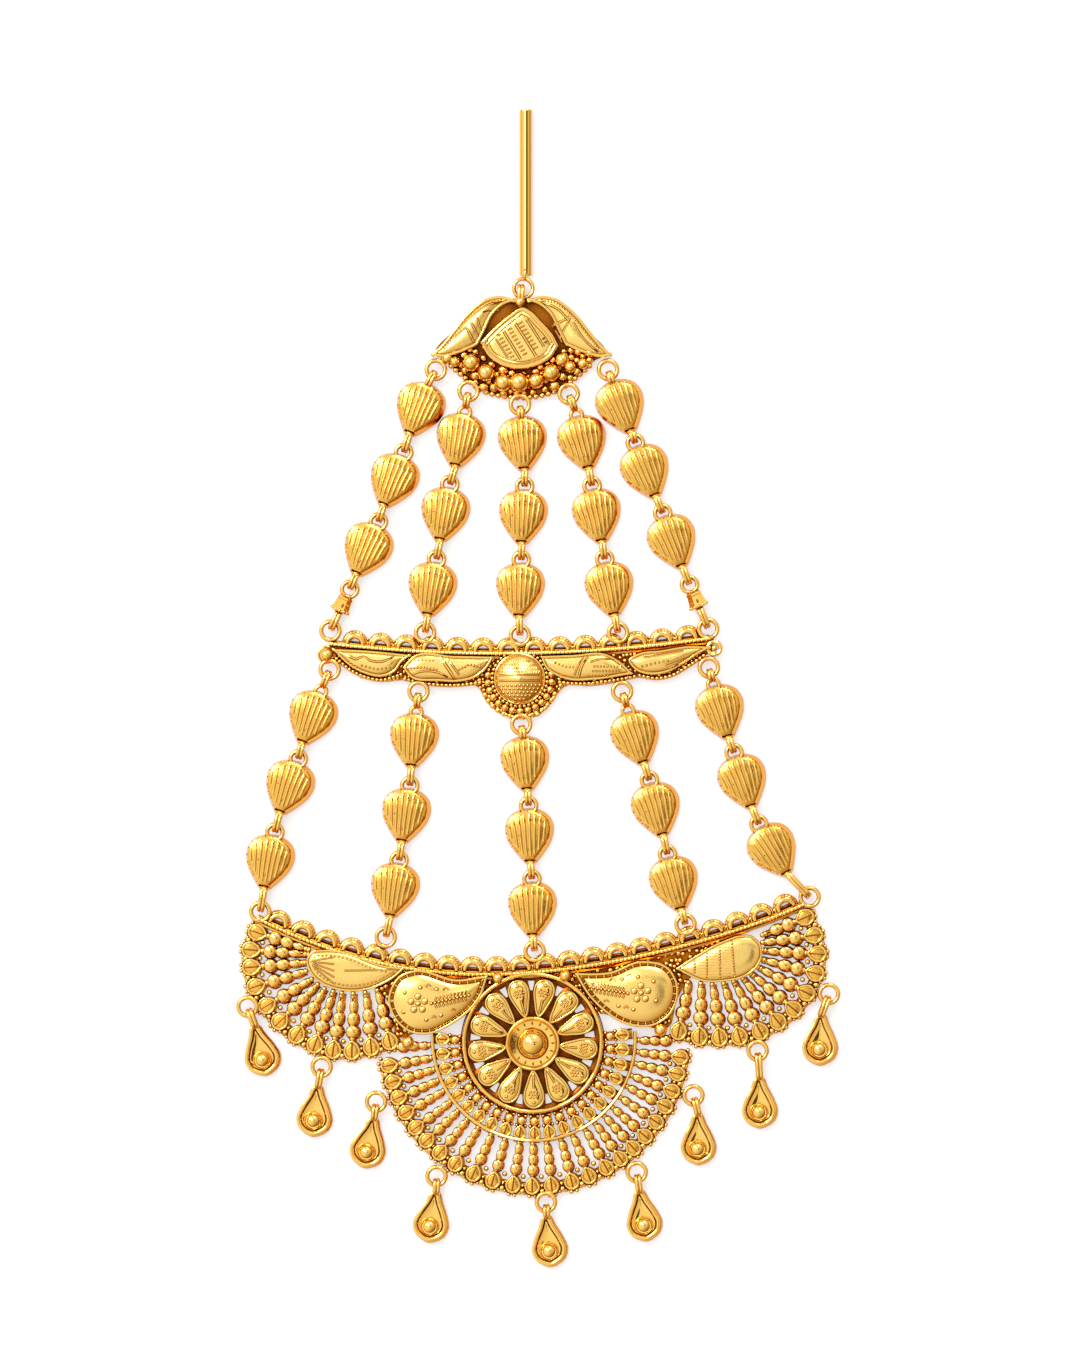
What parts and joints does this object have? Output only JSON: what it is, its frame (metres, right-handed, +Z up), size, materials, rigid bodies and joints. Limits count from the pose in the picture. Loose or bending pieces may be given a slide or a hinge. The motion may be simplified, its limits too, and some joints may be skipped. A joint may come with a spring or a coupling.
{
  "type": "chhapka hair ornament",
  "caption": "Bridal hair jewel of gold: pin rod, leafy crest, chains of ribbed heart beads, scalloped cross bar and a pierced fan with rosette, paisleys and teardrop drops.",
  "frame": {"origin": "centre of the whole piece's footprint, on the surface it lies on", "axes": "+Y from the fan toward the hair pin, +Z up out of the face of the jewel, +X to the viewer's right"},
  "size_m": [0.0906, 0.1734, 0.0041],
  "materials": {
    "gold": "rich warm 22 carat gold, polished rod, balls and rims, satin plates"
  },
  "bodies": {
    "root": {"barrel_upper_left_outer": "gold", "barrel_upper_right_outer": "gold", "crest": "gold", "cross_bar": "gold", "drop_centre": "gold", "drop_left_1": "gold", "drop_left_2": "gold", "drop_left_3": "gold", "drop_left_4": "gold", "drop_right_1": "gold", "drop_right_2": "gold", "drop_right_3": "gold", "drop_right_4": "gold", "fan": "gold", "heart_lower_centre_a": "gold", "heart_lower_centre_b": "gold", "heart_lower_centre_c": "gold", "heart_lower_left_inner_a": "gold", "heart_lower_left_inner_b": "gold", "heart_lower_left_inner_c": "gold", "heart_lower_left_outer_a": "gold", "heart_lower_left_outer_b": "gold", "heart_lower_left_outer_c": "gold", "heart_lower_right_inner_a": "gold", "heart_lower_right_inner_b": "gold", "heart_lower_right_inner_c": "gold", "heart_lower_right_outer_a": "gold", "heart_lower_right_outer_b": "gold", "heart_lower_right_outer_c": "gold", "heart_upper_centre_a": "gold", "heart_upper_centre_b": "gold", "heart_upper_centre_c": "gold", "heart_upper_left_inner_a": "gold", "heart_upper_left_inner_b": "gold", "heart_upper_left_inner_c": "gold", "heart_upper_left_outer_a": "gold", "heart_upper_left_outer_b": "gold", "heart_upper_left_outer_c": "gold", "heart_upper_right_inner_a": "gold", "heart_upper_right_inner_b": "gold", "heart_upper_right_inner_c": "gold", "heart_upper_right_outer_a": "gold", "heart_upper_right_outer_b": "gold", "heart_upper_right_outer_c": "gold", "pin_ring": "gold", "pin_rod": "gold"}
  },
  "joints": []
}
